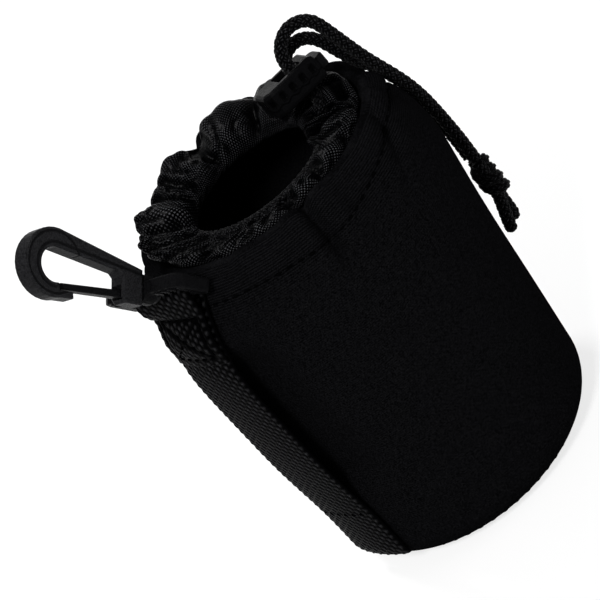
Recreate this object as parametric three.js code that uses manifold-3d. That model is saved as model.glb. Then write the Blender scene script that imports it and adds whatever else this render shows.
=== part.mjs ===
// Lens pouch: a neoprene tube with a gathered drawcord mouth, a webbing back strap and a swivel snap hook.
// Millimetres and degrees. The origin is the centre of the base, +Z is up, the strap is on the -X side.
import * as THREE from 'three';
import Module from 'manifold-3d';
import { mergeVertices } from 'three/addons/utils/BufferGeometryUtils.js';

// Driving dimensions
const clearance = 0.3; // gap between pieces that touch

const bodyRadius = 43.5; // outside of the wall at its widest
const baseRadius = 39.1; // outside of the wall just above the rounded lower edge
const wallThickness = 4; // laminated neoprene
const edgeRadius = 10.8; // rounding of the lower edge
const seamTurn = 33; // angle round that edge, from straight down, to the base seam
const shoulderStart = 79; // height where the wall begins to lean in
const shoulderTurn = 70; // angle through which the shoulder turns
const rimRadius = 33.4; // outside of the drawn-in hem
const rimHeight = 103.4;
const rimShift = 5.7; // the pouch leans this far forward at the rim
const hemWidth = 12; // from the rim down to the hem's stitch line

const mouthRadius = 19; // the gathered opening
const rollRadius = 2.5; // half the thickness of the gathered casing
const rollInset = 3.4; // the casing's outer roll lies this far inside the rim
const mouthDrop = 2; // the casing sinks this much towards the opening
const facingThickness = 0.7; // the casing's flat part behind the hem
const gathers = 15; // puffs round the casing
const puffHeight = 0.8;

const cordDiameter = 3.5;
const cordPitch = 3.8; // centre to centre of two strands side by side
const frontAngle = -22; // where the cord comes out, round from the point opposite the strap
const riserRadius = 23.6; // from the middle of the mouth to the two risers
const knotWidth = 7.8;
const knotHeight = 12;
const knotLevel = 54.8;

const lockHeight = 7; // along the cord
const lockWall = 1.4;
const lockRail = 1; // plunger material on each side of its window
const lockSkin = 1.2; // barrel wall beside the plunger
const lockTail = 11.1; // from the cord to the barrel's closed end
const lockNose = 5; // from the cord to the barrel's open end
const lockTilt = 12; // the lock leans over on the gathers
const plungerTravel = 2.8;
const plungerWeb = 2; // material between the window and the spring
const springRadius = 1.5;
const springWire = 0.4;
const springTurns = 4;

const strapWidth = 20;
const strapThickness = 1.4;
const strapFoot = 4; // height of the strap's lower end
const strapFlat = 3.6; // the wall is drawn in this much behind the strap
const beltGap = 5; // room between strap and wall for a belt
const beltLow = 27; // the strap leaves the wall above here
const beltHigh = 84; // and is sewn to it again above here
const beltEase = 10; // height over which it leaves the wall
const foldHeight = 100; // the strap leaves the wall for its fold here
const foldLength = 19; // doubled part below the fold

const barRadius = 1.75; // the bar that the strap folds round
const clipLean = -33; // the hook leans out from upright
const clipYaw = 9; // and the fold is twisted a little
const clipRoll = -3.5;
const frameSide = 3.4; // side bars of the swivel base
const frameThickness = 3.6;
const crossbar = 3.6;
const bossRadius = 3.6;
const postRadius = 1.9;
const postHead = 2.9;
const postHeadHeight = 1.3;

const hookLength = 36.4; // middle of the crossbar to the crown
const hookThickness = 4.8;
const hookBevel = 0.5;
const crownRadius = 8.4;
const crownOffset = 2; // the crown stands back from the line of the post
const neckHalf = 4.5; // half width of the hook's foot
const neckHeight = 6.1; // from the crossbar to the floor of the eye
const noseReach = 5.6; // from the middle of the crown down to the nose's tip
const noseWidth = 2.1;
const eyeRadius = 4.2;
const gateThickness = 2.8;
const gateWidth = 1.9;
const gateBarrel = 1.4;
const gateSwing = 18; // degrees that the gate opens

// Shared shape helpers
const wasm = await Module();
wasm.setup();
const rad = THREE.MathUtils.degToRad;
const vec2 = (x, y) => new THREE.Vector2(x, y);
const vec3 = (x, y, z) => new THREE.Vector3(x, y, z);

// A closed surface as a solid that can be joined and cut
function solid(geometry) {
  const bare = geometry.clone();
  bare.deleteAttribute('normal');
  bare.deleteAttribute('uv');
  const merged = mergeVertices(bare, 1e-4);
  const index = Array.from(merged.index.array);
  const kept = [];
  for (let i = 0; i < index.length; i += 3) {
    const [a, b, c] = index.slice(i, i + 3);
    if (a !== b && b !== c && c !== a) {
      kept.push(a, b, c);
    }
  }
  return new wasm.Manifold(new wasm.Mesh({
    numProp: 3,
    vertProperties: new Float32Array(merged.attributes.position.array),
    triVerts: new Uint32Array(kept),
  }));
}

// The triangles of a solid
function surface(shape) {
  const mesh = shape.getMesh();
  const geometry = new THREE.BufferGeometry();
  geometry.setAttribute('position', new THREE.BufferAttribute(new Float32Array(mesh.vertProperties), 3));
  geometry.setIndex(Array.from(mesh.triVerts));
  geometry.computeVertexNormals();
  return geometry;
}

// A ring or disc turned about Z from a profile of [radius, height] points
function revolve(profile, segments) {
  const points = profile.map(([r, z]) => vec2(r, z));
  return new THREE.LatheGeometry(points, segments).rotateX(Math.PI / 2);
}

// A round tube along a smooth line through points
function tube(points, radius, sides, steps) {
  const ring = [];
  for (let i = 0; i < sides; i += 1) {
    const turn = (i / sides) * 2 * Math.PI;
    ring.push(vec2(radius * Math.cos(turn), radius * Math.sin(turn)));
  }
  const extrudePath = new THREE.CatmullRomCurve3(points, false, 'centripetal');
  return new THREE.ExtrudeGeometry(new THREE.Shape(ring), { steps, bevelEnabled: false, extrudePath });
}

// A flat outline thickened evenly about its plane, with softened edges
function plate(shape, thickness, bevel) {
  const geometry = new THREE.ExtrudeGeometry(shape, {
    depth: thickness - 2 * bevel,
    bevelEnabled: bevel > 0,
    bevelThickness: bevel,
    bevelSize: bevel,
    bevelOffset: -bevel,
    bevelSegments: 2,
    curveSegments: 10,
    steps: 1,
  });
  return geometry.translate(0, 0, bevel - thickness / 2);
}

// A round bar along Z between two heights
function rod(radius, low, high, sides) {
  const bar = new THREE.CylinderGeometry(radius, radius, high - low, sides);
  return bar.rotateX(Math.PI / 2).translate(0, 0, (low + high) / 2);
}

// A straight block between two corners
function block(low, high) {
  const size = high.map((value, i) => value - low[i]);
  const middle = high.map((value, i) => (value + low[i]) / 2);
  return new THREE.BoxGeometry(...size).translate(...middle);
}

const object = new THREE.Group();
object.name = 'lens_pouch';

function add(name, geometry, material) {
  const mesh = new THREE.Mesh(geometry, material);
  mesh.name = name;
  object.add(mesh);
}

const neoprene = new THREE.MeshStandardMaterial({ color: 0x141415, roughness: 0.95, metalness: 0 });
const nylon = new THREE.MeshStandardMaterial({ color: 0x0d0d0f, roughness: 0.5, metalness: 0 });
const webbing = new THREE.MeshStandardMaterial({ color: 0x101012, roughness: 0.7, metalness: 0 });
const braid = new THREE.MeshStandardMaterial({ color: 0x0f0f11, roughness: 0.65, metalness: 0 });
const plastic = new THREE.MeshStandardMaterial({ color: 0x131315, roughness: 0.4, metalness: 0 });
const steel = new THREE.MeshStandardMaterial({ color: 0xb8bcc0, roughness: 0.35, metalness: 1 });

// Neoprene wall: rounded lower edge, slightly conical side and a shoulder drawn in to the rim
const edgeCentre = baseRadius - edgeRadius;
const shoulderSemiWidth = (bodyRadius - rimRadius) / (1 - Math.cos(rad(shoulderTurn)));
const shoulderSemiHeight = (rimHeight - shoulderStart) / Math.sin(rad(shoulderTurn));

function edgePoint(turn, depth) {
  const radius = edgeRadius - depth;
  return [edgeCentre + radius * Math.sin(turn), edgeRadius - radius * Math.cos(turn)];
}

function shoulderPoint(turn, depth) {
  const along = vec2(-shoulderSemiWidth * Math.sin(turn), shoulderSemiHeight * Math.cos(turn)).normalize();
  const radius = bodyRadius - shoulderSemiWidth * (1 - Math.cos(turn));
  const height = shoulderStart + shoulderSemiHeight * Math.sin(turn);
  return [radius - depth * along.y, height + depth * along.x];
}

function span(low, high, steps) {
  return Array.from({ length: steps + 1 }, (_, i) => low + ((high - low) * i) / steps);
}

function wallLine(depth) {
  const edge = span(rad(seamTurn), rad(90), 5).map((turn) => edgePoint(turn, depth));
  const shoulder = span(0, rad(shoulderTurn), 8).map((turn) => shoulderPoint(turn, depth));
  const [low, high] = [edge[edge.length - 1], shoulder[0]];
  const side = [0.21, 0.27, 0.33, 0.39].map((t) => low.map((value, i) => value + (high[i] - value) * t));
  return [...edge, ...side, ...shoulder];
}

function forwardShift(z) {
  return (rimShift * z) / rimHeight;
}

function drawnIn(y, z) {
  const { smoothstep } = THREE.MathUtils;
  const beside = 1 - smoothstep(Math.abs(y), strapWidth / 2, strapWidth * 1.2);
  const low = smoothstep(z, beltLow, beltLow + beltEase);
  const high = 1 - smoothstep(z, beltHigh - beltEase * 0.8, beltHigh + beltEase * 0.4);
  return strapFlat * beside * low * high;
}

function drawForward(geometry) {
  const place = geometry.attributes.position;
  for (let i = 0; i < place.count; i += 1) {
    const back = place.getX(i) < 0 ? drawnIn(place.getY(i), place.getZ(i)) : 0;
    place.setX(i, place.getX(i) + forwardShift(place.getZ(i)) + back);
  }
  return geometry;
}

const wallOutside = wallLine(0);
const wallProfile = [...wallOutside, ...wallLine(wallThickness).reverse(), wallOutside[0]];
add('body_wall', surface(solid(drawForward(revolve(wallProfile, 48)))), neoprene);

// Base disc: flat underneath, curving up to the seam
const discTurn = rad(seamTurn) - clearance / edgeRadius;
const discBottom = span(0, discTurn, 4).map((turn) => edgePoint(turn, 0));
const discTop = span(0, discTurn, 4).map((turn) => edgePoint(turn, wallThickness)).reverse();
const disc = revolve([[0, 0], ...discBottom, ...discTop, [0, wallThickness]], 48);
add('base_disc', surface(solid(drawForward(disc))), neoprene);

// Drawstring casing: a gathered roll inside the rim, with a flat facing behind the hem
const rimTurn = rad(shoulderTurn);
const rimAlong = vec2(-shoulderSemiWidth * Math.sin(rimTurn), shoulderSemiHeight * Math.cos(rimTurn)).normalize();
const rollOuter = rimRadius - rollInset;
const rollOuterHeight = rimHeight + (rollRadius + clearance + rollInset * rimAlong.x) / rimAlong.y;
const rollInner = mouthRadius + rollRadius;
const rollInnerHeight = rollOuterHeight - mouthDrop;
const rollOutside = span(-90, 90, 5).map(rad).map((turn) => [
  rollOuter + rollRadius * Math.cos(turn),
  rollOuterHeight + rollRadius * Math.sin(turn),
]);
const rollInside = span(90, 270, 5).map(rad).map((turn) => [
  rollInner + rollRadius * Math.cos(turn),
  rollInnerHeight + rollRadius * Math.sin(turn),
]);

function rollMiddle(radius) {
  const across = THREE.MathUtils.clamp((radius - rollInner) / (rollOuter - rollInner), 0, 1);
  return rollInnerHeight + mouthDrop * across;
}

function gather(geometry) {
  const place = geometry.attributes.position;
  for (let i = 0; i < place.count; i += 1) {
    const radius = Math.hypot(place.getX(i), place.getY(i));
    const turn = Math.atan2(place.getY(i), place.getX(i));
    const above = Math.max(place.getZ(i) - rollMiddle(radius), 0) / rollRadius;
    const puff = 0.5 + 0.5 * Math.cos(gathers * turn);
    place.setZ(i, place.getZ(i) + puffHeight * puff * above);
  }
  return geometry;
}

const rollTop = rollOuterHeight + rollRadius + puffHeight;
const roll = solid(gather(revolve([...rollOutside, ...rollInside, rollOutside[0]], gathers * 5)));
const hemTurn = rimTurn - hemWidth / Math.hypot(shoulderSemiWidth, shoulderSemiHeight / 2);
const facingReach = rollRadius + clearance;

function facingLine(depth) {
  const line = span(hemTurn, rimTurn, 3).map((turn) => shoulderPoint(turn, depth));
  const [radius, height] = line[line.length - 1];
  return [...line, [radius + rimAlong.x * facingReach, height + rimAlong.y * facingReach]];
}

const facingOutside = facingLine(wallThickness + clearance);
const facingInside = facingLine(wallThickness + clearance + facingThickness).reverse();
const facing = solid(revolve([...facingOutside, ...facingInside, facingOutside[0]], 48));
const casing = solid(drawForward(surface(roll.add(facing))));

// Drawcord: a loop in the casing, its two ends rising side by side through the lock
const front = new THREE.Matrix4().makeRotationZ(rad(frontAngle)).setPosition(rimShift, 0, 0);
const halfPitch = cordPitch / 2;
const cordRoom = cordDiameter / 2 + clearance;
const slotHalf = halfPitch + cordRoom;
const plungerHalf = slotHalf + lockRail;
const lockHalf = plungerHalf + clearance + lockSkin;
const lean = rad(lockTilt);
const lockMiddle = rollTop + clearance + (lockHeight / 2) * Math.cos(lean) + lockHalf * Math.sin(lean);
const lockTurn = new THREE.Matrix4().makeRotationX(-lean).setPosition(riserRadius, 0, lockMiddle);
const ringGap = Math.asin((halfPitch + 1.75 * cordDiameter) / rollInner);

function cordLoop(reach) {
  const half = lockHeight / 2;
  const riser = (side) => [
    ...[half + reach, 0, -half].map((along) => vec3(0, side * halfPitch, along).applyMatrix4(lockTurn)),
    vec3(riserRadius - 0.2, side * (halfPitch + 0.5) - 0.9, rollTop - 0.8),
    vec3(riserRadius - 1.2, side * (halfPitch + 2.4) - 0.5, (rollTop + rollInnerHeight) / 2),
  ];
  const ring = span(ringGap, 2 * Math.PI - ringGap, 28).map((turn) =>
    vec3(rollInner * Math.cos(turn), rollInner * Math.sin(turn), rollInnerHeight));
  return [...riser(1), ...ring, ...riser(-1).reverse()];
}

const tunnel = solid(tube(cordLoop(clearance), cordDiameter / 2 + clearance * 1.3, 8, 66).applyMatrix4(front));
add('collar_casing', surface(casing.subtract(tunnel)), nylon);
add('drawcord', surface(solid(tube(cordLoop(0), cordDiameter / 2, 8, 66).applyMatrix4(front))), braid);

// Free strands: up out of the lock, over in an arch and down the front; [radius, height, side] of each point
const nearRoute = [
  [23.3, 115.6, 0.7], [23.3, 117.8, 1.0], [24.06, 119.9, 1.25], [25.49, 121.6, 1.45], [27.41, 122.7, 1.6],
  [29.04, 123.1, 1.7], [30.71, 123.0, 1.7], [32.6, 122.35, 1.7], [34.13, 121.2, 1.6], [35.14, 119.9, 1.5],
  [35.85, 118.2, 1.3], [36.45, 116.0, 1.1], [37.0, 113.7, 0.9], [37.55, 111.3, 0.7], [38.2, 108.6, 0.6],
  [38.9, 105.8, 0.5], [39.8, 102.6, 0.3], [41.1, 98.6, 0.2], [42.6, 94.0, 0.1], [43.8, 89.4, 0], [44.6, 84.6, 0],
  [45.0, 79.6, 0], [45.2, 74.4, 0], [45.3, 69.2, 0], [45.2, 64.8, 0], [45.1, 61.4, 0],
];
const farRoute = [
  [24.4, 116.25, 1.0], [25.4, 116.9, 1.3], [26.7, 117.35, 1.55], [28.2, 117.5, 1.8], [29.85, 117.25, 2.0],
  [31.35, 116.6, 2.1], [32.65, 115.6, 2.0], [33.7, 114.3, 1.8], [34.6, 112.6, 1.5], [35.5, 110.6, 1.2],
  [36.5, 108.2, 0.9], [37.7, 105.3, 0.6], [39.1, 102.2, 0.4], [40.9, 98.7, 0.3], [42.4, 94.5, 0.2],
  [43.7, 89.8, 0.1], [44.5, 84.8, 0], [44.9, 79.6, 0], [45.1, 74.4, 0], [45.2, 69.2, 0], [45.2, 64.8, 0],
  [45.1, 61.4, 0],
];
const tailRoute = [[44.9, 48.2], [44.5, 45.2], [43.9, 41.8], [43.2, 38.3]];
const tailSpread = [0, 0.3, 0.9, 1.6];

function strand(route, side) {
  const points = route.map(([r, z, over]) => vec3(r, side * halfPitch + over, z));
  return tube(points, cordDiameter / 2, 8, 40).applyMatrix4(front);
}

function tail(side) {
  const points = tailRoute.map(([r, z], i) => vec3(r, side * (halfPitch + tailSpread[i]), z));
  return tube(points, cordDiameter / 2, 8, 6).applyMatrix4(front);
}

add('cord_strand_near', surface(solid(strand(nearRoute, -1))), braid);
add('cord_strand_far', surface(solid(strand(farRoute, 1))), braid);
add('cord_tail_near', surface(solid(tail(-1))), braid);
add('cord_tail_far', surface(solid(tail(1))), braid);

// Overhand knot: two tilted turns of the paired cord round its core
const knotTube = knotHeight / 4 - 0.4;
const knotTurn = new THREE.TorusGeometry(knotWidth / 2 - knotTube * 0.8, knotTube * 0.8, 8, 16);
const knotUpper = solid(knotTurn.clone().rotateY(rad(22)).translate(0, 0, knotTube * 1.05));
const knotLower = solid(knotTurn.clone().rotateY(rad(-18)).rotateX(rad(14)).translate(0, 0, -knotTube * 1.05));
const knotCore = solid(new THREE.SphereGeometry(1, 14, 10).scale(knotWidth * 0.38, knotWidth * 0.46, knotHeight / 2));
const knotPlace = new THREE.Matrix4().makeTranslation(nearRoute[nearRoute.length - 1][0], 0, knotLevel);
const knot = surface(knotCore.add(knotUpper).add(knotLower)).applyMatrix4(knotPlace).applyMatrix4(front);
add('cord_knot', knot, braid);

// Cord lock: flattened barrel with a long cord slot; the plunger's window pinches the cord at the slot's end
const lockPlace = lockTurn.clone().premultiply(front);
const plungerHeight = lockHeight - 2 * (lockWall + clearance);
const cavityFloor = lockWall - lockTail;
const lockSide = [
  [-lockTail, 0.62], [-lockTail * 0.83, 0.93], [-lockTail * 0.3, 1], [lockNose * 0.4, 1], [lockNose, 0.95],
].map(([x, y]) => vec2(x, y * lockHalf));
const lockOutline = new THREE.Shape([
  ...lockSide.map((p) => vec2(p.x, -p.y)),
  ...lockSide.slice().reverse(),
]);
const grips = span(-lockTail * 0.62, lockNose * 0.58, 3).flatMap((x) => [-1, 1].map((side) => {
  const grip = new THREE.BoxGeometry(1.7, lockSkin * 1.2, lockHeight * 0.32);
  return solid(grip.translate(x, side * lockHalf, lockHeight * 0.08));
}));
let barrel = solid(plate(lockOutline, lockHeight, 1));
barrel = barrel.subtract(solid(block(
  [cavityFloor, -plungerHalf - clearance, -plungerHeight / 2 - clearance],
  [lockNose + 1, plungerHalf + clearance, plungerHeight / 2 + clearance],
)));
barrel = barrel.subtract(solid(block(
  [-cordRoom - plungerTravel - clearance, -slotHalf, -lockHeight],
  [cordRoom, slotHalf, lockHeight],
)));
barrel = grips.reduce((shape, grip) => shape.subtract(grip), barrel);
add('lock_body', surface(barrel).applyMatrix4(lockPlace), plastic);

// Plunger: pushed out by the spring, its window's inner edge holding the cord
const plungerInner = -cordRoom - plungerWeb;
const plungerOuter = lockNose + plungerTravel;
const plungerOutline = new THREE.Shape([
  vec2(plungerInner, -plungerHalf),
  vec2(plungerOuter - 1.4, -plungerHalf),
  vec2(plungerOuter - 0.4, -plungerHalf * 0.88),
  vec2(plungerOuter, -plungerHalf * 0.6),
  vec2(plungerOuter, plungerHalf * 0.6),
  vec2(plungerOuter - 0.4, plungerHalf * 0.88),
  vec2(plungerOuter - 1.4, plungerHalf),
  vec2(plungerInner, plungerHalf),
]);
const plungerWindow = block(
  [-cordRoom, -slotHalf, -lockHeight],
  [cordRoom + plungerTravel + clearance, slotHalf, lockHeight],
);
const plunger = solid(plate(plungerOutline, plungerHeight, 0.4)).subtract(solid(plungerWindow));
add('lock_plunger', surface(plunger).applyMatrix4(lockPlace), plastic);

// Coil spring between the barrel's closed end and the plunger
class Coil extends THREE.Curve {
  getPoint(t) {
    const low = cavityFloor + clearance + springWire / 2;
    const high = plungerInner - clearance - springWire / 2;
    const turn = t * springTurns * 2 * Math.PI;
    return vec3(low + (high - low) * t, springRadius * Math.cos(turn), springRadius * Math.sin(turn));
  }
}
const wireRing = span(0, 4, 4).map((i) => (i / 5) * 2 * Math.PI)
  .map((turn) => vec2((springWire / 2) * Math.cos(turn), (springWire / 2) * Math.sin(turn)));
const coil = new Coil();
const spring = new THREE.ExtrudeGeometry(new THREE.Shape(wireRing), {
  steps: springTurns * 8,
  bevelEnabled: false,
  extrudePath: coil,
});
add('lock_spring', surface(solid(spring)).applyMatrix4(lockPlace), steel);
const coilPoints = coil.getPoints(springTurns * 40);
let coilGap = Infinity;
coilPoints.forEach((p, i) => {
  coilPoints.slice(i + 20).forEach((q) => {
    coilGap = Math.min(coilGap, p.distanceTo(q) - springWire);
  });
});
console.log(`lock_spring least gap to itself ${coilGap.toFixed(2)} mm`);

// Back strap: sewn low and high, free between for a belt, folded round the bar at the top
function outerRadius(z) {
  if (z < edgeRadius) {
    return edgeCentre + Math.sqrt(edgeRadius ** 2 - (edgeRadius - z) ** 2);
  }
  if (z < shoulderStart) {
    return THREE.MathUtils.mapLinear(z, edgeRadius, shoulderStart, baseRadius, bodyRadius);
  }
  const rise = Math.min((z - shoulderStart) / shoulderSemiHeight, 1);
  return bodyRadius - shoulderSemiWidth * (1 - Math.sqrt(1 - rise ** 2));
}

function strapLine(z) {
  const { smoothstep } = THREE.MathUtils;
  const bow = smoothstep(z, beltLow, beltLow + beltEase) * smoothstep(-z, -beltHigh, beltEase - beltHigh);
  const seat = clearance * 1.6 + (beltGap - clearance) * bow;
  return forwardShift(z) + drawnIn(0, z) - outerRadius(z) - seat - strapThickness / 2;
}

function strapSlope(z) {
  return strapLine(z + 0.5) - strapLine(z - 0.5);
}

const foldRadius = barRadius + clearance + strapThickness / 2;
const foldAlong = vec2(strapSlope(foldHeight), 1).normalize();
const barX = strapLine(foldHeight) - foldAlong.y * foldRadius;
const barHeight = foldHeight + foldAlong.x * foldRadius;
const layer = strapThickness + clearance;
const strapRun = [
  ...span(strapFoot, foldHeight, 30).map((z) => vec2(strapLine(z), z)),
  ...span(-Math.asin(foldAlong.x), Math.PI, 11).slice(1).map((turn) =>
    vec2(barX + foldRadius * Math.cos(turn), barHeight + foldRadius * Math.sin(turn))),
  ...span(barHeight, barHeight - foldLength, 9).slice(1).map((z) =>
    vec2(Math.min(strapLine(z) - layer * Math.hypot(1, strapSlope(z)), barX - foldRadius), z)),
];

function strapSide(offset) {
  return strapRun.map((p, i) => {
    const ahead = strapRun[Math.min(i + 1, strapRun.length - 1)];
    const behind = strapRun[Math.max(i - 1, 0)];
    const along = ahead.clone().sub(behind).normalize();
    return vec2(p.x + along.y * offset, p.y - along.x * offset);
  });
}

const strapOutline = new THREE.Shape([
  ...strapSide(strapThickness / 2),
  ...strapSide(-strapThickness / 2).reverse(),
]);
const acrossBack = new THREE.Matrix4().makeBasis(vec3(1, 0, 0), vec3(0, 0, 1), vec3(0, -1, 0));
const strap = plate(strapOutline, strapWidth, 0).applyMatrix4(acrossBack);
const clipTurn = new THREE.Matrix4().makeRotationFromEuler(
  new THREE.Euler(rad(clipRoll), rad(clipLean), rad(clipYaw), 'ZXY'),
);
const barAlong = vec3(0, 1, 0).applyMatrix4(clipTurn);
const fullTwist = new THREE.Quaternion().setFromUnitVectors(vec3(0, 1, 0), barAlong);
const fold = vec3(barX, 0, barHeight);
const strapPlace = strap.attributes.position;
for (let i = 0; i < strapPlace.count; i += 1) {
  const point = vec3().fromBufferAttribute(strapPlace, i);
  const twist = THREE.MathUtils.smoothstep(point.z, barHeight - foldRadius * 3, barHeight - foldRadius * 0.4);
  const turn = new THREE.Quaternion().slerp(fullTwist, twist);
  point.sub(fold).applyQuaternion(turn).add(fold);
  strapPlace.setXYZ(i, point.x, point.y, point.z);
}
add('back_strap', surface(solid(strap)), webbing);

// Swivel base: bar, side bars and a ribbed crossbar with a bore for the hook's post
const clip = clipTurn.clone().setPosition(barX, 0, barHeight);
const headLow = foldRadius + strapThickness / 2 + clearance * 1.5;
const barLow = headLow + postHeadHeight + clearance;
const barTop = barLow + crossbar;
const crossbarMiddle = (barLow + barTop) / 2;
const frameInner = strapWidth / 2 + clearance * 2;
const frameOuter = frameInner + frameSide;
const frameFoot = -barRadius - clearance;
const frameOutline = new THREE.Shape([
  vec2(-frameOuter, frameFoot + 1), vec2(-frameOuter + 1, frameFoot),
  vec2(-frameInner, frameFoot), vec2(-frameInner, barLow),
  vec2(frameInner, barLow), vec2(frameInner, frameFoot),
  vec2(frameOuter - 1, frameFoot), vec2(frameOuter, frameFoot + 1),
  vec2(frameOuter, barTop - 2.2), vec2(frameOuter - 0.7, barTop - 0.7), vec2(frameOuter - 2.2, barTop),
  vec2(-frameOuter + 2.2, barTop), vec2(-frameOuter + 0.7, barTop - 0.7), vec2(-frameOuter, barTop - 2.2),
]);
const facePlane = new THREE.Matrix4().makeBasis(vec3(0, 1, 0), vec3(0, 0, 1), vec3(1, 0, 0));
const ribs = [-1, 1].flatMap((side) => [0, 1, 2].map((i) => {
  const place = bossRadius + 1.6 + i * 2.4;
  const rise = crossbar * 0.36;
  const rib = new THREE.Shape([
    vec2(0, -rise), vec2(0.9, -rise), vec2(1.9, 0), vec2(0.9, rise), vec2(0, rise), vec2(1, 0),
  ]);
  const raised = plate(rib, 0.9, 0).translate(place, crossbarMiddle, -frameThickness / 2);
  const rightRib = raised.applyMatrix4(facePlane);
  return solid(side > 0 ? rightRib : rightRib.rotateZ(Math.PI).translate(-frameThickness, 0, 0));
}));
const bar = rod(barRadius, -frameInner - 1, frameInner + 1, 16).rotateX(Math.PI / 2);
let base = solid(plate(frameOutline, frameThickness, 0.5).applyMatrix4(facePlane));
base = base.add(solid(bar)).add(solid(rod(bossRadius, barLow, barTop, 24)));
base = ribs.reduce((shape, rib) => shape.add(rib), base);
base = base.subtract(solid(rod(postRadius + clearance, barLow - 1, barTop + 1, 20)));
add('swivel_base', surface(base).applyMatrix4(clip), plastic);

// Snap hook: tapered spine, crown and nose, with a post that turns in the crossbar; drawn towards the gate and up
const neckLow = barTop + clearance - crossbarMiddle;
const crownHigh = hookLength - crownRadius;
const noseTip = crownHigh - noseReach;
const noseInner = crownRadius - crownOffset - noseWidth;
const eyeFloor = neckLow + neckHeight;
const gateRoot = vec2(neckHalf / 2, neckLow + neckHeight * 0.55);
const gateTip = vec2(noseInner - clearance - gateWidth * 0.42, noseTip + noseReach * 0.54);
const eyeMiddle = vec2(crownRadius * 0.06 - crownOffset, crownHigh - crownRadius * 0.05);
const hookOutline = new THREE.Shape();
hookOutline.moveTo(neckHalf, neckLow);
hookOutline.lineTo(-neckHalf * 0.93, neckLow);
hookOutline.absarc(-crownOffset, crownHigh, crownRadius, rad(188), rad(-15), true);
hookOutline.lineTo(noseInner + noseWidth * 0.8, noseTip);
hookOutline.lineTo(noseInner, noseTip + noseWidth * 0.1);
hookOutline.lineTo(noseInner, noseTip + noseReach * 0.72);
hookOutline.absarc(eyeMiddle.x, eyeMiddle.y, eyeRadius, rad(-12), rad(180), false);
hookOutline.lineTo(-neckHalf * 0.62, eyeFloor + neckHeight * 0.16);
hookOutline.lineTo(-neckHalf * 0.4, eyeFloor);
hookOutline.lineTo(neckHalf * 0.7, eyeFloor);
hookOutline.lineTo(neckHalf, eyeFloor - neckHeight * 0.16);
const hookPlane = new THREE.Matrix4().makeBasis(vec3(-1, 0, 0), vec3(0, 0, 1), vec3(0, 1, 0))
  .setPosition(0, 0, crossbarMiddle);
const gateAlong = gateTip.clone().sub(gateRoot).normalize();
const gateAcross = vec2(gateAlong.y, -gateAlong.x);
const gateOpen = gateAlong.clone().rotateAround(vec2(0, 0), rad(gateSwing));
const gateOpenAcross = vec2(gateOpen.y, -gateOpen.x);
const slotSide = gateWidth / 2 + clearance;
const gateSlot = new THREE.Shape([
  gateRoot.clone().addScaledVector(gateAcross, slotSide),
  gateRoot.clone().addScaledVector(gateAcross, slotSide).addScaledVector(gateAlong, neckHeight * 1.3),
  gateRoot.clone().addScaledVector(gateOpenAcross, -slotSide).addScaledVector(gateOpen, neckHeight * 1.3),
  gateRoot.clone().addScaledVector(gateOpenAcross, -slotSide),
]);
const socket = rod(gateBarrel + clearance, -gateThickness / 2 - clearance, gateThickness / 2 + clearance, 20)
  .translate(gateRoot.x, gateRoot.y, 0);
const postReach = neckLow + 1;
let hook = solid(plate(hookOutline, hookThickness, hookBevel));
hook = hook.subtract(solid(socket)).subtract(solid(plate(gateSlot, gateThickness + 2 * clearance, 0)));
hook = solid(surface(hook).applyMatrix4(hookPlane));
hook = hook.add(solid(rod(postRadius, headLow, crossbarMiddle + postReach, 16)));
hook = hook.add(solid(rod(postHead, headLow, headLow + postHeadHeight, 20)));
add('hook_body', surface(hook).applyMatrix4(clip), plastic);

// Spring gate: a barrel seated in the hook's neck and a tongue that rests inside the nose
const gateOutline = new THREE.Shape([
  gateRoot.clone().addScaledVector(gateAcross, gateWidth / 2),
  gateTip.clone().addScaledVector(gateAcross, gateWidth * 0.42),
  gateTip.clone().addScaledVector(gateAcross, -gateWidth * 0.42),
  gateRoot.clone().addScaledVector(gateAcross, -gateWidth / 2),
]);
const gateLow = -gateThickness / 2;
const gate = solid(plate(gateOutline, gateThickness, 0.3))
  .add(solid(rod(gateBarrel, gateLow, -gateLow, 16).translate(gateRoot.x, gateRoot.y, 0)));
add('hook_gate', surface(gate).applyMatrix4(hookPlane).applyMatrix4(clip), plastic);

export default object;
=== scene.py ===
import bmesh
import bpy
import numpy as np
from mathutils import Matrix, Vector


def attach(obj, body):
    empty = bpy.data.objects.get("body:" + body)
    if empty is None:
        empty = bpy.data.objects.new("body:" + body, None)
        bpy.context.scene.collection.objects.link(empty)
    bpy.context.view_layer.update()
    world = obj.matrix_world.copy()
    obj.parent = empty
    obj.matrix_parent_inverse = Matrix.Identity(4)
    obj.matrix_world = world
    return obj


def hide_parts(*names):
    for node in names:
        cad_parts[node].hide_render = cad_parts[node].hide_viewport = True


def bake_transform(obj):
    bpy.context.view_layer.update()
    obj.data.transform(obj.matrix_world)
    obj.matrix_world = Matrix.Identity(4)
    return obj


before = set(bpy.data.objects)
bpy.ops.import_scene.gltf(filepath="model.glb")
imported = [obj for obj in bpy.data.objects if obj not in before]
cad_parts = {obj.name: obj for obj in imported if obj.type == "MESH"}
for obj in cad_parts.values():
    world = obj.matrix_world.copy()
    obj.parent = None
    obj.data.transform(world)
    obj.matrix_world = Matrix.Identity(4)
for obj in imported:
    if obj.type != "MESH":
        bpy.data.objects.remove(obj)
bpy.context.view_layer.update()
scene = bpy.context.scene
scene.view_settings.view_transform = "Standard"

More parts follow.
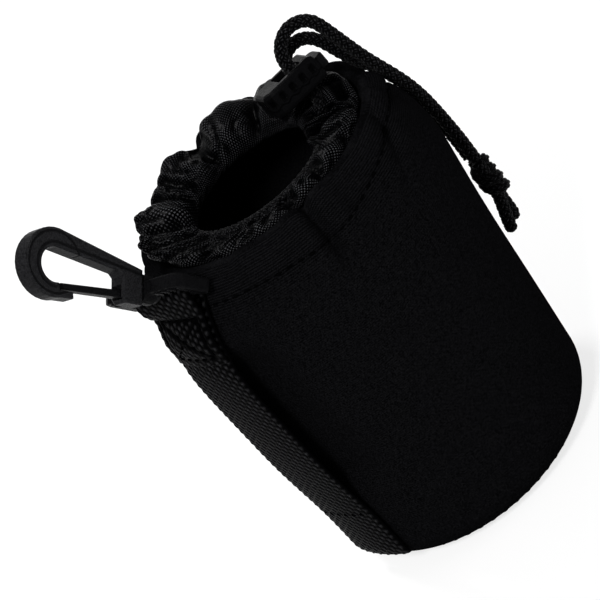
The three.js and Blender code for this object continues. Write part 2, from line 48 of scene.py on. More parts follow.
# Camera: a long lens 0.65 m away, above the pouch and to the left of its front, held at a slant,
# so that the pouch leans over in the picture.
picture_side = 600
focal_pixels = 2562.3
aim_right, aim_down = 29.7, 27.3
sensor_wide = 36.0
view_distance = 0.65
view_middle = np.array([0.0, 0.0, 0.06])
view_turn, view_rise, view_roll = np.radians([-29.96, 28.56, 41.0])
behind = np.array([
    np.sin(view_turn) * np.cos(view_rise),
    -np.cos(view_turn) * np.cos(view_rise),
    np.sin(view_rise),
])
rightward = np.array([np.cos(view_turn), np.sin(view_turn), 0.0])
upward = np.cross(behind, rightward)
eye = view_middle + view_distance * behind
behind = behind + (aim_right * rightward - aim_down * upward) / focal_pixels
behind /= np.linalg.norm(behind)
rightward -= behind * (rightward @ behind)
rightward /= np.linalg.norm(rightward)
upward = np.cross(behind, rightward)
view_frame = np.eye(4)
view_frame[:3, 0] = np.cos(view_roll) * rightward - np.sin(view_roll) * upward
view_frame[:3, 1] = np.sin(view_roll) * rightward + np.cos(view_roll) * upward
view_frame[:3, 2] = behind
view_frame[:3, 3] = eye
lens = bpy.data.cameras.new("camera")
lens.sensor_width = sensor_wide
lens.lens = sensor_wide * focal_pixels / picture_side
lens.clip_start = 0.01
camera = bpy.data.objects.new("camera", lens)
camera.matrix_world = Matrix(view_frame.tolist())
scene.collection.objects.link(camera)
scene.camera = camera


# Studio: a pale floor, a white surround and three soft lamps. The floor is white to the eye and
# still takes the pouch's shadow.
def add_node(tree, kind, *sources, **settings):
    """A node with its settings, each source written or linked into its inputs in turn. Gives its
    first output."""
    made = tree.nodes.new("ShaderNode" + kind)
    for key, value in settings.items():
        setattr(made, key, value)
    for socket, source in zip(made.inputs, sources):
        if isinstance(source, bpy.types.NodeSocket):
            tree.links.new(source, socket)
        elif source is not None:
            socket.default_value = source
    return made.outputs[0]


def calc(tree, kind, *values):
    """One step of arithmetic."""
    return add_node(tree, "Math", *values, operation=kind)


def remap(tree, value, low, high, at_low=0.0, at_high=1.0):
    """A number carried from one range to another and held at its ends."""
    return add_node(tree, "MapRange", value, low, high, at_low, at_high)


def parts_of(tree, vector):
    """The three numbers of a vector."""
    split = tree.nodes.new("ShaderNodeSeparateXYZ")
    tree.links.new(vector, split.inputs[0])
    return split.outputs


def seen_in_gloss(tree, ray):
    """1 for a ray off a gloss or through glass, else 0."""
    return calc(tree, "MAXIMUM", ray["Is Glossy Ray"], ray["Is Transmission Ray"])


surround = bpy.data.worlds.new("surround")
scene.world = surround
surround.use_nodes = True
air = surround.node_tree
ray = air.nodes.new("ShaderNodeLightPath").outputs
ray_way = parts_of(air, air.nodes.new("ShaderNodeTexCoord").outputs["Generated"])
low_wall = remap(air, ray_way[2], 0.02, 0.16, 1.0, 0.0)
mirrored = calc(air, "MULTIPLY", seen_in_gloss(air, ray), low_wall)
straight = calc(air, "MAXIMUM", ray["Is Camera Ray"], mirrored)
level = remap(air, straight, 0.0, 1.0, 0.3, 1.0)
air.nodes["Background"].inputs["Color"].default_value = (1, 1, 1, 1)
air.links.new(level, air.nodes["Background"].inputs["Strength"])

floor_half, floor_level = 3.0, -0.0003
floor_corners = [
    (x * floor_half, y * floor_half, floor_level) for x, y in ((-1, -1), (1, -1), (1, 1), (-1, 1))
]
floor_mesh = bpy.data.meshes.new("floor")
floor_mesh.from_pydata(floor_corners, [], [(0, 1, 2, 3)])
floor = bpy.data.objects.new("floor", floor_mesh)
scene.collection.objects.link(floor)
floor_paint = bpy.data.materials.new("pale_floor")
floor_paint.use_nodes = True
paint = floor_paint.node_tree
paint.nodes.remove(paint.nodes["Principled BSDF"])
ray = paint.nodes.new("ShaderNodeLightPath").outputs
straight = calc(paint, "MAXIMUM", ray["Is Camera Ray"], seen_in_gloss(paint, ray))
matt_white = add_node(paint, "BsdfDiffuse", (0.9, 0.9, 0.9, 1))
glow = add_node(paint, "Emission", (1, 1, 1, 1), 1.05)
cover = add_node(paint, "MixShader", calc(paint, "MULTIPLY", straight, 0.72), matt_white, glow)
paint.links.new(cover, paint.nodes["Material Output"].inputs["Surface"])
floor_mesh.materials.append(floor_paint)

lamp_aim = Vector((0.0, 0.0, 0.07))
for name, place, width, watts in (
    ("key_lamp", (-0.75, -0.55, 0.95), 0.25, 14.0),
    ("fill_lamp", (0.75, -0.85, 0.55), 0.7, 4.0),
    ("top_lamp", (0.15, 0.65, 1.05), 0.3, 10.0),
):
    lamp = bpy.data.lights.new(name, "AREA")
    lamp.size = width
    lamp.energy = watts
    stand = bpy.data.objects.new(name, lamp)
    aim = lamp_aim - Vector(place)
    stand.matrix_world = Matrix.Translation(place) @ aim.to_track_quat("-Z", "Y").to_matrix().to_4x4()
    scene.collection.objects.link(stand)

# Drawcord: one soft round braid of black polyester yarn, 3.5 mm thick. It runs round inside the
# casing, rises through the lock as two strands, arches over and hangs to an overhand knot.
cord_radius = 0.00175
cord_step = 0.0002
yarns_round = 6
yarn_step = 0.0020


def run_along(line):
    """Length along a line at each of its points, from 0."""
    return np.concatenate([[0.0], np.cumsum(np.linalg.norm(np.diff(line, axis=0), axis=1))])


def at_runs(at, run, line):
    """Points of a line at given lengths along it."""
    return np.stack([np.interp(at, run, line[:, axis]) for axis in range(line.shape[1])], -1)


def unit(ways):
    """Directions brought to length 1."""
    return ways / np.linalg.norm(ways, axis=-1, keepdims=True)


def smooth_line(points, step):
    """A cubic through the points, each tangent the slope across its neighbours, cut into equal steps."""
    points = np.asarray(points, float)
    span = np.linalg.norm(np.diff(points, axis=0), axis=1)
    along = np.concatenate([[0.0], np.cumsum(span)])
    slope = np.gradient(points, along, axis=0)
    fine = np.linspace(0.0, along[-1], 60 * len(points))
    k = np.clip(np.searchsorted(along, fine, side="right") - 1, 0, len(span) - 1)
    width = span[k, None]
    t = (fine - along[k])[:, None] / width
    line = (2 * t**3 - 3 * t**2 + 1) * points[k] + (t**3 - 2 * t**2 + t) * width * slope[k]
    line += (3 * t**2 - 2 * t**3) * points[k + 1] + (t**3 - t**2) * width * slope[k + 1]
    run = run_along(line)
    even = np.linspace(0.0, run[-1], int(round(run[-1] / step)) + 1)
    return at_runs(even, run, line)


def braid(line, hint, radius, taper=1.0, columns=64):
    """Tube round a line. With f the angle in sixths of a turn and s the length in 2 mm steps, one family
    of yarns is numbered a = f + s and the other b = f - s. Which lies on top of a diamond is told by
    whether floor(a) + floor(b) is odd. Its crown is rounded across, grooved between its two plies and
    ducks under at both ends. Gives the points, the map (a, b) and the gleam, 1 in the middle of a ply,
    a mask that the yarn's material paints as a highlight into its base colour."""
    tangent = unit(np.gradient(line, axis=0))
    first = unit(hint - tangent * np.sum(hint * tangent, axis=1, keepdims=True))
    second = np.cross(tangent, first)
    angle = np.linspace(0.0, 2 * np.pi, columns + 1)
    run = run_along(line)[:, None] / yarn_step
    a = yarns_round * angle / (2 * np.pi) + run
    b = yarns_round * angle / (2 * np.pi) - run
    odd = (np.floor(a) + np.floor(b)) % 2 > 0
    across = np.where(odd, a % 1, b % 1)
    along = np.where(odd, b % 1, a % 1)
    ply = np.sin(2 * np.pi * across) ** 2
    crown = np.sin(np.pi * across) ** 0.7 * np.sin(np.pi * along) ** 0.45 * (0.85 + 0.15 * ply)
    # gleam: 1 in the middle of each ply, painted by the yarn's material as a highlight
    gleam = np.sin(np.pi * along) ** 1.5 * ply**2
    ring = (radius * np.broadcast_to(taper, len(line)))[:, None] * (0.78 + 0.26 * crown)
    points = line[:, None] + ring[..., None] * (
        np.cos(angle)[:, None] * first[:, None] + np.sin(angle)[:, None] * second[:, None]
    )
    return points[:, :-1], np.stack([a, b], -1), gleam[:, :-1]


def lay_surface(name, points, chart=None, height=None, ring=False):
    """Closed mesh over a grid of points (rows, columns) whose columns run round. The rows close too where
    ring is set, else each end row is capped by a point in its middle. A leading axis makes many such
    bodies in one mesh. The chart is the UV map, and the height is kept as the attribute relief."""
    points = np.asarray(points, float)
    points = points[None] if points.ndim == 3 else points
    bodies, rows, columns = points.shape[:3]
    row, column = np.meshgrid(np.arange(rows if ring else rows - 1), np.arange(columns), indexing="ij")
    corner_row = np.stack([row, row, row + 1, row + 1], -1).reshape(-1, 4)
    corner_column = np.stack([column, column + 1, column + 1, column], -1).reshape(-1, 4)
    quads = (corner_row % rows) * columns + corner_column % columns
    size = rows * columns
    places = points.reshape(bodies, size, 3)
    caps = np.zeros((0, 3), int)
    if not ring:
        turn = np.arange(columns)
        after = (turn + 1) % columns
        low = np.stack([after, turn, np.full(columns, size)], -1)
        high = (rows - 1) * columns + np.stack([turn, after, turn], -1)
        high[:, 2] = size + 1
        caps = np.concatenate([low, high])
        ends = points[:, [0, -1]].mean(axis=2)
        places = np.concatenate([places, ends], axis=1)
    count = places.shape[1]
    shift = (np.arange(bodies) * count)[:, None, None]
    quads = (quads[None] + shift).reshape(-1, 4)
    caps = (caps[None] + shift).reshape(-1, 3)
    mesh = bpy.data.meshes.new(name)
    mesh.vertices.add(bodies * count)
    mesh.vertices.foreach_set("co", places.ravel())
    corners = np.concatenate([quads.ravel(), caps.ravel()])
    mesh.loops.add(len(corners))
    mesh.loops.foreach_set("vertex_index", corners)
    starts = np.concatenate([np.arange(len(quads)) * 4, len(quads) * 4 + np.arange(len(caps)) * 3])
    mesh.polygons.add(len(starts))
    mesh.polygons.foreach_set("loop_start", starts)
    if chart is not None:
        flat_map = chart[corner_row, corner_column].reshape(-1, 2)
        spare = np.zeros((len(caps) * 3, 2))
        layer = mesh.uv_layers.new(name="chart")
        layer.data.foreach_set("uv", np.concatenate([np.tile(flat_map, (bodies, 1)), spare]).ravel())
    if height is not None:
        full = np.zeros((bodies, count))
        full[:, :size] = np.broadcast_to(height, (bodies, rows, columns)).reshape(bodies, size)
        mesh.attributes.new("relief", "FLOAT", "POINT").data.foreach_set("value", full.ravel())
    mesh.update(calc_edges=True)
    shell = bmesh.new()
    shell.from_mesh(mesh)
    bmesh.ops.recalc_face_normals(shell, faces=shell.faces)
    shell.to_mesh(mesh)
    shell.free()
    mesh.shade_smooth()
    piece = bpy.data.objects.new(name, mesh)
    scene.collection.objects.link(piece)
    return piece


def new_finish(name, roughness, specular):
    """A material with one shader, its gloss set."""
    material = bpy.data.materials.new(name)
    material.use_nodes = True
    shader = material.node_tree.nodes["Principled BSDF"]
    shader.inputs["Roughness"].default_value = roughness
    shader.inputs["Specular IOR Level"].default_value = specular
    return material, material.node_tree, shader


def two_tone(tree, shader, amount, dark, light):
    """Base colour between two greys by an amount from 0 to 1."""
    mix = tree.nodes.new("ShaderNodeMix")
    mix.data_type = "RGBA"
    tree.links.new(amount, mix.inputs[0])
    mix.inputs[6].default_value = (*dark, 1)
    mix.inputs[7].default_value = (*light, 1)
    tree.links.new(mix.outputs[2], shader.inputs["Base Color"])


def emboss(tree, shader, height, depth):
    """Bump of a depth in metres from a height of 0 to 1."""
    bump = tree.nodes.new("ShaderNodeBump")
    bump.inputs["Distance"].default_value = depth
    tree.links.new(height, bump.inputs["Height"])
    tree.links.new(bump.outputs[0], shader.inputs["Normal"])


def speckle(tree, scale, detail, roughness):
    """Noise in the piece's own space, with about so many grains to the metre."""
    place = tree.nodes.new("ShaderNodeTexCoord").outputs["Object"]
    return add_node(tree, "TexNoise", place, None, scale, detail, roughness)


def relief_of(tree):
    """The piece's attribute relief. The cord, casing and strap paint highlights from it into their base
    colour, and the casing paints shade too.
    """
    kept = tree.nodes.new("ShaderNodeAttribute")
    kept.attribute_name = "relief"
    return kept.outputs["Fac"]


def chart_of(tree):
    """The piece's own UV map."""
    flat_map = tree.nodes.new("ShaderNodeUVMap")
    flat_map.uv_map = "chart"
    return flat_map.outputs[0]


def chart_waves(tree, rate):
    """Sines of the map's two numbers, each times a rate."""
    turn = add_node(tree, "VectorMath", chart_of(tree), (rate, rate, 0.0), operation="MULTIPLY")
    wave = add_node(tree, "VectorMath", turn, operation="SINE")
    return parts_of(tree, wave)[:2]


yarn, tree, shader = new_finish("braided_yarn", roughness=0.3, specular=0.008)
grain = speckle(tree, 900.0, 3.0, 0.6)
# The base colour is lighter where relief holds the gleam, in the middle of each ply: a painted highlight,
# broken up by noise.
lit = calc(tree, "POWER", relief_of(tree), 2.2)
lit = calc(tree, "MULTIPLY", lit, grain)
two_tone(tree, shader, lit, (0.0002, 0.0002, 0.0003), (0.09, 0.09, 0.0975))
fibre_rate = 22.0
fibre = calc(tree, "ADD", *chart_waves(tree, fibre_rate))
fibre = calc(tree, "MULTIPLY_ADD", fibre, 0.5, grain)
emboss(tree, shader, fibre, 0.00009)
shader.inputs["Sheen Weight"].default_value = 0.02
shader.inputs["Sheen Roughness"].default_value = 0.4

cord_turn = np.radians(-22.0)
mouth_forward = 0.0057


def front_place(radius, side, height):
    """Point in the cord's plane, 22 degrees round from the pouch's front, about the axis of the mouth."""
    radius, side, height = (np.asarray(x, float) for x in (radius, side, height))
    x = mouth_forward + radius * np.cos(cord_turn) - side * np.sin(cord_turn)
    y = radius * np.sin(cord_turn) + side * np.cos(cord_turn)
    return np.stack(np.broadcast_arrays(x, y, height), -1)


# the strands: radius, height and drift sideways, from the lock over the arch and down to the knot
strand_apart = 0.0019
near_route = np.array([
    [0.0233, 0.1156, 0.0007], [0.0233, 0.1178, 0.001], [0.02406, 0.1199, 0.00125],
    [0.02549, 0.1216, 0.00145], [0.02741, 0.1227, 0.0016], [0.02904, 0.1231, 0.0017],
    [0.03071, 0.123, 0.0017], [0.0326, 0.12235, 0.0017], [0.03413, 0.1212, 0.0016],
    [0.03514, 0.1199, 0.0015], [0.03585, 0.1182, 0.0013], [0.03645, 0.116, 0.0011],
    [0.037, 0.1137, 0.0009], [0.03755, 0.1113, 0.0007], [0.0382, 0.1086, 0.0006],
    [0.0389, 0.1058, 0.0005], [0.0398, 0.1026, 0.0003], [0.0411, 0.0986, 0.0002],
    [0.0426, 0.094, 0.0001], [0.0438, 0.0894, 0.0], [0.0446, 0.0846, 0.0],
    [0.045, 0.0796, 0.0], [0.0452, 0.0744, 0.0], [0.0453, 0.0692, 0.0],
    [0.0452, 0.0648, 0.0], [0.0451, 0.0614, 0.0],
])
far_route = np.array([
    [0.0244, 0.11625, 0.001], [0.0254, 0.1169, 0.0013], [0.0267, 0.11735, 0.00155],
    [0.0282, 0.1175, 0.0018], [0.02985, 0.11725, 0.002], [0.03135, 0.1166, 0.0021],
    [0.03265, 0.1156, 0.002], [0.0337, 0.1143, 0.0018], [0.0346, 0.1126, 0.0015],
    [0.03535, 0.1106, 0.0012], [0.03615, 0.1082, 0.0009], [0.03722, 0.1053, 0.0006],
    [0.03862, 0.1022, 0.0004], [0.0405, 0.0987, 0.0003], [0.0422, 0.0945, 0.0002],
    [0.0437, 0.0898, 0.0001], [0.0445, 0.0848, 0.0], [0.0449, 0.0796, 0.0],
    [0.0451, 0.0744, 0.0], [0.0452, 0.0692, 0.0], [0.0452, 0.0648, 0.0],
    [0.0451, 0.0614, 0.0],
])
cord_across = front_place(0.0, 1.0, 0.0) - front_place(0.0, 0.0, 0.0)
cord_outward = front_place(1.0, 0.0, 0.0) - front_place(0.0, 0.0, 0.0)
strand_lines = {}
strands = {}
for end, side, route in (("near", -1, near_route), ("far", 1, far_route)):
    line = front_place(route[:, 0], side * strand_apart + route[:, 2], route[:, 1])
    line = smooth_line(line, cord_step)
    strand_lines[end] = line
    points, chart, gleam = braid(line, np.broadcast_to(cord_across, line.shape), cord_radius)
    strands[end] = lay_surface("strand_" + end, points, chart, gleam)

# the knot: both ends tied together, a wrap of two cords slanting once round the core
knot_middle = front_place(0.0451, 0.0, 0.0548)
knot_radius = 0.0016
wrap_points = 26
straight_up = np.array([0.0, 0.0, 1.0])
wraps = []
for start in (-0.0013, 0.0019):
    turn = np.radians(np.linspace(-30.0, 400.0, wrap_points))
    drop = np.linspace(0.0031, -0.0042, wrap_points) - start
    swell = 0.00215 + 0.0003 * np.sin(turn * 1.5)
    swell[[0, 1, -2, -1]] = [0.0008, 0.0016, 0.0016, 0.0008]
    wrap = knot_middle + np.cos(turn)[:, None] * swell[:, None] * cord_outward
    wrap = wrap + (np.sin(turn) * swell)[:, None] * cord_across + drop[:, None] * straight_up
    line = smooth_line(wrap, 0.0003)
    wraps.append(braid(line, line - knot_middle + 0.02 * straight_up, knot_radius, columns=48))
rows = min(len(points) for points, chart, gleam in wraps)
knot = lay_surface(
    "knot",
    np.stack([points[:rows] for points, chart, gleam in wraps]),
    wraps[0][1][:rows],
    np.stack([gleam[:rows] for points, chart, gleam in wraps]),
)

# the tails: cut ends, the near one splayed and the far one melted to a small nib
tail_radius = 0.00178
tail_height = np.array([0.0600, 0.0535, 0.0482, 0.0452, 0.0418, 0.0383])
tail_spread = np.array([0.0010, 0.0010, 0.0010, 0.0011, 0.0013, 0.0015])
tails = {}
for end, side, nib, radius in (
    ("near", -1, 0.8, [0.0451, 0.0448, 0.0440, 0.0431, 0.0420, 0.0410]),
    ("far", 1, 0.3, [0.0451, 0.0451, 0.0451, 0.0450, 0.0449, 0.0447]),
):
    line = smooth_line(front_place(radius, side * tail_spread, tail_height), cord_step)
    left = (len(line) - 1 - np.arange(len(line))) * cord_step
    taper = nib + (1 - nib) * np.clip(left / 0.0024, 0, 1) ** 0.5
    taper = taper * np.clip(left / 0.0006, 0.25, 1) ** 0.5
    points, chart, gleam = braid(line, np.broadcast_to(cord_across, line.shape), tail_radius, taper)
    tails[end] = lay_surface("tail_" + end, points, chart, gleam)

# the loop: from the lock down into the casing, round the mouth and back up to the lock
lock_radius, lock_height = 0.0236, 0.111583
lock_tilt = np.radians(-12.0)
loop_radius, loop_height, loop_points = 0.0215, 0.10122, 31
under_loop = np.array([0.0056, 0.0, 0.085])
hidden_radius = 0.00172
rise = np.array([0.0035, 0.0, -0.0035])
riser = {}
for side in (-1, 1):
    y = np.cos(lock_tilt) * side * strand_apart - np.sin(lock_tilt) * rise
    z = lock_height + np.sin(lock_tilt) * side * strand_apart + np.cos(lock_tilt) * rise
    radius = np.array([lock_radius, lock_radius, lock_radius, 0.0234, 0.0224])
    y = np.concatenate([y, [side * 0.0024 - 0.0009, side * 0.0043 - 0.0005]])
    riser[side] = np.stack([radius, y, np.concatenate([z, [0.10572, 0.10387]])], -1)
turn = np.radians(np.linspace(21.9, 338.1, loop_points))
ring_part = np.stack([
    loop_radius * np.cos(turn),
    loop_radius * np.sin(turn),
    np.full(loop_points, loop_height),
], -1)
loop_route = np.concatenate([riser[1], ring_part, riser[-1][::-1]])
line = smooth_line(front_place(loop_route[:, 0], loop_route[:, 1], loop_route[:, 2]), 0.00035)
points, chart, gleam = braid(line, line - under_loop, hidden_radius, columns=40)
loop = lay_surface("drawcord_loop", points, chart, gleam)

for piece, node in (
    (strands["near"], "cord_strand_near"),
    (strands["far"], "cord_strand_far"),
    (knot, "cord_knot"),
    (tails["near"], "cord_tail_near"),
    (tails["far"], "cord_tail_far"),
    (loop, "drawcord"),
):
    piece.data.materials.append(yarn)
    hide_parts(node)
for piece in (*strands.values(), knot, *tails.values()):
    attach(piece, "lock")
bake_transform(loop)
for end, ends in (("near", [knot, tails["near"], tails["far"]]), ("far", [])):
    line = strand_lines[end]

# Wall: one sheet of 4 mm foam rubber faced with black knit, rolled into a tube. Its top is folded over
# as a hem, gathered into pleats by the cord and held by one row of stitches.
sheet_thick = 4
rim_radius, rim_height = 33.4, 103.4
wide_radius, wide_height = 43.5, 79.0
low_radius, edge_radius = 39.1, 10.8
flat_radius = 28.3
lean_forward = 5.7
rim_start = 1.9
rim_steps = 11
chart_radius = 42.0


def smoothstep(x, low, high):
    """0 below low, 1 above high, a smooth cubic between."""
    t = np.clip((x - low) / (high - low), 0.0, 1.0)
    return t * t * (3 - 2 * t)


def bell(x, centre, width):
    """1 at a centre, fading on both sides with the square of the distance in widths."""
    return np.exp(-((x - centre) / width) ** 2)


def ripple(a, b, seed, low, high, count=9):
    """Sum of plane waves in a and b with whole turns round a, from -1 to 1 or so."""
    rng = np.random.default_rng(seed)
    turns = rng.integers(low, high + 1, count) * rng.choice([-1, 1], count)
    other = rng.uniform(-1.0, 1.0, count)
    phase = rng.uniform(0, 2 * np.pi, count)
    total = 0.0
    for k in range(count):
        total = total + np.sin(turns[k] * a + other[k] * b + phase[k])
    return total / np.sqrt(count)


def edge_arc(turn):
    """Radius and height on the quarter round of the lower edge, by the angle from straight down."""
    return np.stack([flat_radius + edge_radius * np.sin(turn), edge_radius - edge_radius * np.cos(turn)], -1)


shoulder_end = np.radians(70.0)
shoulder_wide = (wide_radius - rim_radius) / (1 - np.cos(shoulder_end))
shoulder_tall = (rim_height - wide_height) / np.sin(shoulder_end)
shoulder_turn = np.radians(np.linspace(70.0, 0.0, 120))
outer_line = np.concatenate([
    np.stack([
        wide_radius - shoulder_wide * (1 - np.cos(shoulder_turn)),
        wide_height + shoulder_tall * np.sin(shoulder_turn),
    ], -1),
    np.stack([
        np.linspace(wide_radius, low_radius, 122),
        np.linspace(wide_height, edge_radius, 122),
    ], -1)[1:-1],
    edge_arc(np.radians(np.linspace(90.0, 33.0, 60))),
])
outer_run = run_along(outer_line)
wall_length = outer_run[-1]
down = np.concatenate([np.linspace(rim_start, 22.0, 64), np.linspace(22.0, wall_length - 0.1, 70)[1:]])
face = at_runs(down, outer_run, outer_line)
slope = unit(np.gradient(face, down, axis=0))
outward = np.stack([-slope[:, 1], slope[:, 0]], -1)
bend = np.linspace(0, np.pi, rim_steps + 2)[1:-1]
rim_middle = face[0] - sheet_thick / 2 * outward[0]
rim_bend = np.cos(np.pi - bend)[:, None] * outward[0] - np.sin(bend)[:, None] * slope[0]
rim_edge = rim_middle + sheet_thick / 2 * rim_bend
section = np.concatenate([face, (face - sheet_thick * outward)[::-1], rim_edge])
section_out = np.concatenate([outward, outward[::-1], np.repeat(outward[:1], rim_steps, 0)])
section_down = np.concatenate([down, down[::-1], np.full(rim_steps, rim_start)])
around = np.radians(np.linspace(-180.0, 180.0, 361))[:-1]


def hem_width(turn):
    """Height of the hem below the rim: 10 mm, more at the deep pleat, less towards the cord."""
    degrees = np.degrees(turn)
    return 10 + 1.4 * bell(degrees, -113, 16) - 3.5 * bell(degrees, -58, 26)


pleats = np.array([
    # angle, depth, width in degrees, slant in degrees per mm
    [-151.0, 1.5, 2.6, 0.4], [-114.8, 3.0, 2.3, 0.0], [-66.0, 1.7, 3.0, -1.2],
    [-42.0, 1.0, 3.0, 0.3], [4.0, 1.5, 3.0, 0.0], [38.0, 1.4, 2.6, 0.3],
    [72.0, 2.2, 2.6, -0.2], [105.0, 1.4, 3.0, 0.2], [136.0, 1.5, 2.6, 0.0],
])


def wall_lift(turn, run):
    """How far the sheet stands out: the hem is puffed between its stitches and the rim, the stitches pull
    in, each pleat is a valley with a swelling on both sides, the far shoulder is tucked in, the cord lies
    in a shallow groove, and the tube has a few slow dents."""
    degrees = np.degrees(turn)
    hem = hem_width(turn)
    puff = 1.3 * np.sin(np.pi * np.clip(run / hem, 0, 1)) ** 0.6
    pull = -0.55 * bell(run, hem, 0.7)
    lift = (puff + pull) * np.ones_like(turn + run)
    fade = 1 - smoothstep(run, hem - 1, hem + 13)
    for angle, depth, width, slant in pleats:
        off = (degrees - angle - slant * (run - 6) + 180) % 360 - 180
        both_sides = bell(np.abs(off), 3.2 * width, 2.2 * width)
        lift = lift + fade * depth * (0.55 * both_sides - bell(off, 0, width))
    free = smoothstep(run, 6, 30) * (1 - smoothstep(run, wall_length - 30, wall_length - 8))
    off_strap = smoothstep(np.abs((degrees + 360) % 360 - 180), 22, 40)
    tuck = 3.0 * bell(degrees % 360, 138, 30) * (1 - smoothstep(run, 3, 28))
    groove = 1.0 * bell(degrees, -20.5, 6.5) * smoothstep(run, 0, 4) * (1 - smoothstep(run, 9, 18))
    dents = 0.35 * free * off_strap * ripple(turn, run * 0.09, 5, 1, 4)
    return lift * (0.35 + 0.65 * off_strap) - tuck - groove + dents


def stand_up(turn, radius, height):
    """Point at an angle, radius and height (mm) in metres: the pouch leans forward as it rises, and its
    back is drawn in 3.6 mm behind the strap."""
    x = radius * np.cos(turn)
    y = radius * np.sin(turn)
    beside = 1 - smoothstep(np.abs(y), 10.0, 24.0)
    flat = 3.6 * beside * smoothstep(height, 27.0, 37.0) * (1 - smoothstep(height, 76.0, 88.0))
    x = x + lean_forward * height / rim_height + np.where(x < 0, flat, 0.0)
    return np.stack([x, y, height * np.ones_like(x)], -1) * 0.001


lift = wall_lift(around[:, None], section_down[None])
lifted = section[None] + lift[..., None] * section_out[None]
points = stand_up(around[:, None], lifted[..., 0], lifted[..., 1])
chart = np.stack(np.broadcast_arrays(
    np.append(around, np.pi)[:, None] * chart_radius,
    np.append(section_down, section_down[0])[None],
), -1)
wall = lay_surface("wall", points, chart, ring=True)

course_pitch, wale_pitch = 0.62, 0.55
knit, tree, shader = new_finish("knit_faced_foam", roughness=0.7, specular=0.0)
run_round, run_down = parts_of(tree, chart_of(tree))[:2]
drift = speckle(tree, 90.0, 2.0, 0.5)
course = calc(tree, "MULTIPLY", run_down, 2 * np.pi / course_pitch)
course = calc(tree, "SINE", calc(tree, "MULTIPLY_ADD", drift, 6.0, course))
wale = calc(tree, "SINE", calc(tree, "MULTIPLY", run_round, 2 * np.pi / wale_pitch))
knit_loop = calc(tree, "MULTIPLY", course, wale)
knit_loop = calc(tree, "MULTIPLY_ADD", course, 0.8, knit_loop)
fuzz = speckle(tree, 2200.0, 2.0, 0.6)
ribbed = remap(tree, run_down, 10.0, 16.0, 0.22, 0.06)
grain = calc(tree, "MULTIPLY_ADD", knit_loop, ribbed, fuzz)
lit = remap(tree, grain, 0.3, 0.9)
two_tone(tree, shader, lit, (0.0005, 0.0005, 0.0006), (0.0066, 0.0066, 0.0073))
emboss(tree, shader, grain, 0.00016)
wall.data.materials.append(knit)
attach(wall, "pouch")
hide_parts("body_wall")

# Base: a disc of the same knit-faced sheet, its rim turned up into the rounded lower edge of the wall
# and sewn to it from inside.
flat_steps = 39
disc_turn = np.radians(np.linspace(32.2, 0.0, 16))
under_out = np.stack([np.sin(disc_turn), -np.cos(disc_turn)], -1)
flat_run = np.linspace(flat_radius, 1.0, flat_steps + 1)[1:]
under = np.concatenate([edge_arc(disc_turn), np.stack([flat_run, np.zeros(flat_steps)], -1)])
under_out = np.concatenate([under_out, np.repeat([[0.0, -1.0]], flat_steps, 0)])
disc = np.concatenate([(under - sheet_thick * under_out)[::-1], under])
points = stand_up(around[::2][None, :], disc[:, None, 0], disc[:, None, 1])
chart = np.stack(np.broadcast_arrays(
    np.append(around[::2], np.pi)[None] * 20.0,
    run_along(disc)[:, None],
), -1)
base = lay_surface("base", points, chart)
base.data.materials.append(knit)
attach(base, "pouch")
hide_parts("base_disc")

# Casing: a band of thin shiny nylon folded double round the cord and sewn inside the rim. The drawn cord
# bunches it into puffs with creases running to the mouth.
folds = np.array([
    # angle at the seam, angle at the mouth, depth of the valley, height of the puff after it
    [116, 113, 1.6, 1.6], [134, 150, 1.7, 1.5], [151, 166, 1.3, 1.4], [169, 183, 1.3, 1.3],
    [194, 207, 1.5, 1.3], [217, 222, 1.1, 1.0], [243, 243, 2.3, 0.8], [261, 263, 1.5, 0.9],
    [284, 280, 1.3, 1.1], [306, 320, 1.6, 1.3], [352, 352, 0.3, 1.3], [370, 370, 1.3, 1.3],
    [396, 394, 1.7, 2.0], [431.6, 431.6, 3.2, 2.0], [463, 461, 1.1, 1.0],
])
casing_loop = np.array([
    # radius and height, from the seam over the top to the mouth and back inside
    [31.5, 101.9], [31.8, 103.7], [30.4, 105.3], [27.0, 105.8], [22.8, 104.8], [19.9, 103.0],
    [18.9, 101.0], [20.2, 98.9], [23.5, 98.7], [27.5, 100.0], [30.2, 100.8],
])
casing_steps = 44
casing_middle = 5.62
casing_width = 40.0
mouth_shift = 1.9
wound = np.concatenate([casing_loop[-3:], casing_loop, casing_loop[:3]])
casing_line = smooth_line(np.column_stack([wound, np.zeros(len(wound))]), 0.05)[:, :2]
half = len(casing_line) // 2
first_end = np.argmin(np.linalg.norm(casing_line[:half] - casing_loop[0], axis=1))
last_end = half + np.argmin(np.linalg.norm(casing_line[half:] - casing_loop[0], axis=1))
casing_line = casing_line[np.linspace(first_end, last_end, casing_steps + 1)[:-1].astype(int)]
casing_slope = unit(np.roll(casing_line, -1, 0) - np.roll(casing_line, 1, 0))
casing_out = np.stack([casing_slope[:, 1], -casing_slope[:, 0]], -1)
casing_out *= np.sign(np.sum(casing_out * (casing_line - casing_line.mean(0)), axis=1).sum())
share = np.arange(casing_steps) / casing_steps
fold_count = len(folds)
fold_ends = np.concatenate([folds, folds[:1] + [360, 360, 0, 0]])
fold_number = np.arange(fold_count + 1)
even = np.linspace(fold_ends[0, 0], fold_ends[-1, 0], 217)[:-1]
number = np.interp(even, fold_ends[:, 0], fold_number)
nearest = np.array([np.argmin(np.abs(number - k)) for k in range(fold_count)])
number[nearest] = np.arange(fold_count)
slanted = (smoothstep(share, 0.03, 0.5) * (1 - smoothstep(share, 0.62, 0.9)))[None]
seam_angle = np.interp(number, fold_number, fold_ends[:, 0])[:, None]
mouth_angle = np.interp(number, fold_number, fold_ends[:, 1])[:, None]
angle = np.radians(seam_angle + (mouth_angle - seam_angle) * slanted)
lobe = np.floor(number + 1e-9).astype(int) % fold_count
